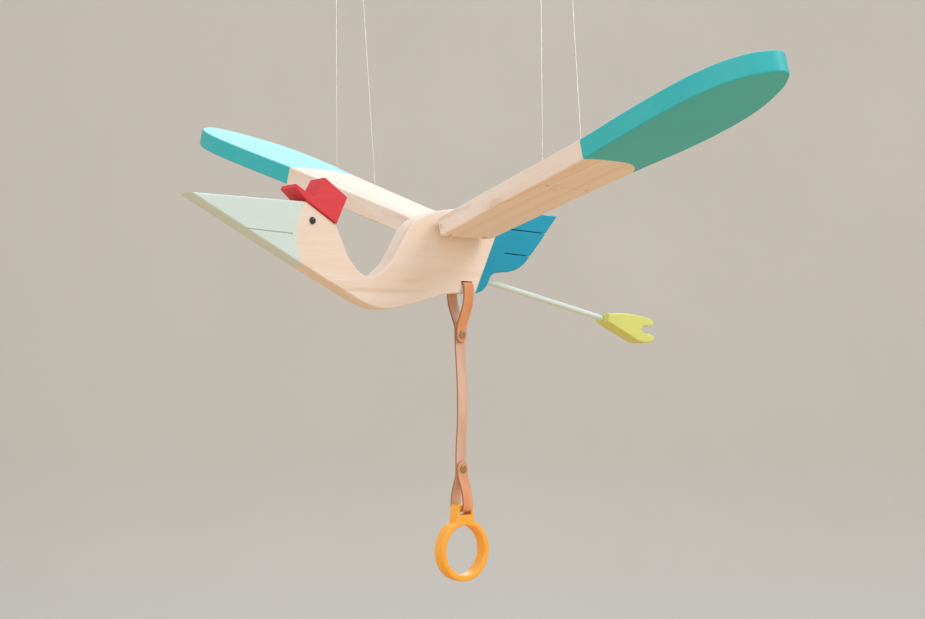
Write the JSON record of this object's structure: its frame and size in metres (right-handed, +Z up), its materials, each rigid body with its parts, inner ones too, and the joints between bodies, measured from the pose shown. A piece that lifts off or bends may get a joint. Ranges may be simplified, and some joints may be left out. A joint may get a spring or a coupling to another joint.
{
  "type": "crib mobile",
  "caption": "Flapping wooden pelican mobile: board body with hinged wings hung on nylon lines, trailing foot, and a leather pull strap with a grasp ring.",
  "frame": {"origin": "centre of the hole of the hanging eye on top of the hanger bar, which the whole mobile hangs from", "axes": "+Z up, -X towards the tip of the bird's beak, -Y towards the tip of its left wing"},
  "size_m": [0.5067, 0.7481, 0.5673],
  "materials": {
    "bare_wood": "satin",
    "teal_paint": "satin",
    "red_paint": "matt",
    "mint_paint": "satin",
    "lime_paint": "satin",
    "orange_paint": "satin",
    "leather": "matt",
    "steel": "polished",
    "antique_brass": "antique",
    "black_gloss": "gloss",
    "nylon": "clear gloss"
  },
  "bodies": {
    "hanger": {"hanger_bar": "bare_wood", "hanger_eye": "steel"},
    "left_lines": {"left_front_line": "nylon", "left_rear_line": "nylon", "left_front_knot": "nylon", "left_rear_knot": "nylon"},
    "right_lines": {"right_front_line": "nylon", "right_rear_line": "nylon", "right_front_knot": "nylon", "right_rear_knot": "nylon"},
    "torso": {"trunk": "bare_wood", "cap": "red_paint", "cap_dowel": "bare_wood", "left_eye": "black_gloss", "right_eye": "black_gloss", "leg_rod": "mint_paint", "foot": "lime_paint", "left_front_hinge_eye": "steel", "left_rear_hinge_eye": "steel", "right_front_hinge_eye": "steel", "right_rear_hinge_eye": "steel", "upper_strap_loop": "leather", "upper_rivet": "antique_brass"},
    "left_wing": {"left_wing": "teal_paint", "left_hinge_pin": "steel", "left_wing_line": "nylon"},
    "right_wing": {"right_wing": "teal_paint", "right_hinge_pin": "steel", "right_wing_line": "nylon"},
    "strap": {"leather_strap": "leather"},
    "ring": {"grasp_ring": "orange_paint", "lower_strap_loop": "leather", "lower_rivet": "antique_brass"}
  },
  "joints": [
    {"name": "bob", "type": "slide", "parent": "hanger", "child": "torso", "axis": [0, 0, -1], "range_m": [-0.02, 0.035], "stiffness_N_per_m": 60},
    {"name": "left_flap", "type": "hinge", "parent": "torso", "child": "left_wing", "pos_m": [0, -0.01785, -0.2553], "axis": [-1, 0, 0], "range_deg": [-9.5, 16.5]},
    {"name": "right_flap", "type": "hinge", "parent": "torso", "child": "right_wing", "pos_m": [0, 0.01785, -0.2553], "axis": [1, 0, 0], "range_deg": [-9.5, 16.5]},
    {"name": "left_line_tilt", "type": "hinge", "parent": "hanger", "child": "left_lines", "pos_m": [0, -0.14, -0.0133], "axis": [1, 0, 0], "range_deg": [-2, 3.5]},
    {"name": "right_line_tilt", "type": "hinge", "parent": "hanger", "child": "right_lines", "pos_m": [0, 0.14, -0.0133], "axis": [-1, 0, 0], "range_deg": [-3, 4.5]},
    {"name": "strap_swing", "type": "hinge", "parent": "torso", "child": "strap", "pos_m": [0.016, 0.00115, -0.3566], "axis": [1, 0, 0], "range_deg": [-20, 20]},
    {"name": "ring_swing", "type": "hinge", "parent": "strap", "child": "ring", "pos_m": [0.016, 0.00115, -0.452], "axis": [1, 0, 0], "range_deg": [-20, 20]}
  ],
  "couplings": [
    {"joint": "left_flap", "follows": "bob", "rad_per_m": 7.895},
    {"joint": "right_flap", "follows": "bob", "rad_per_m": 8.186},
    {"joint": "left_line_tilt", "follows": "bob", "rad_per_m": 1.4},
    {"joint": "right_line_tilt", "follows": "bob", "rad_per_m": 2.1}
  ]
}
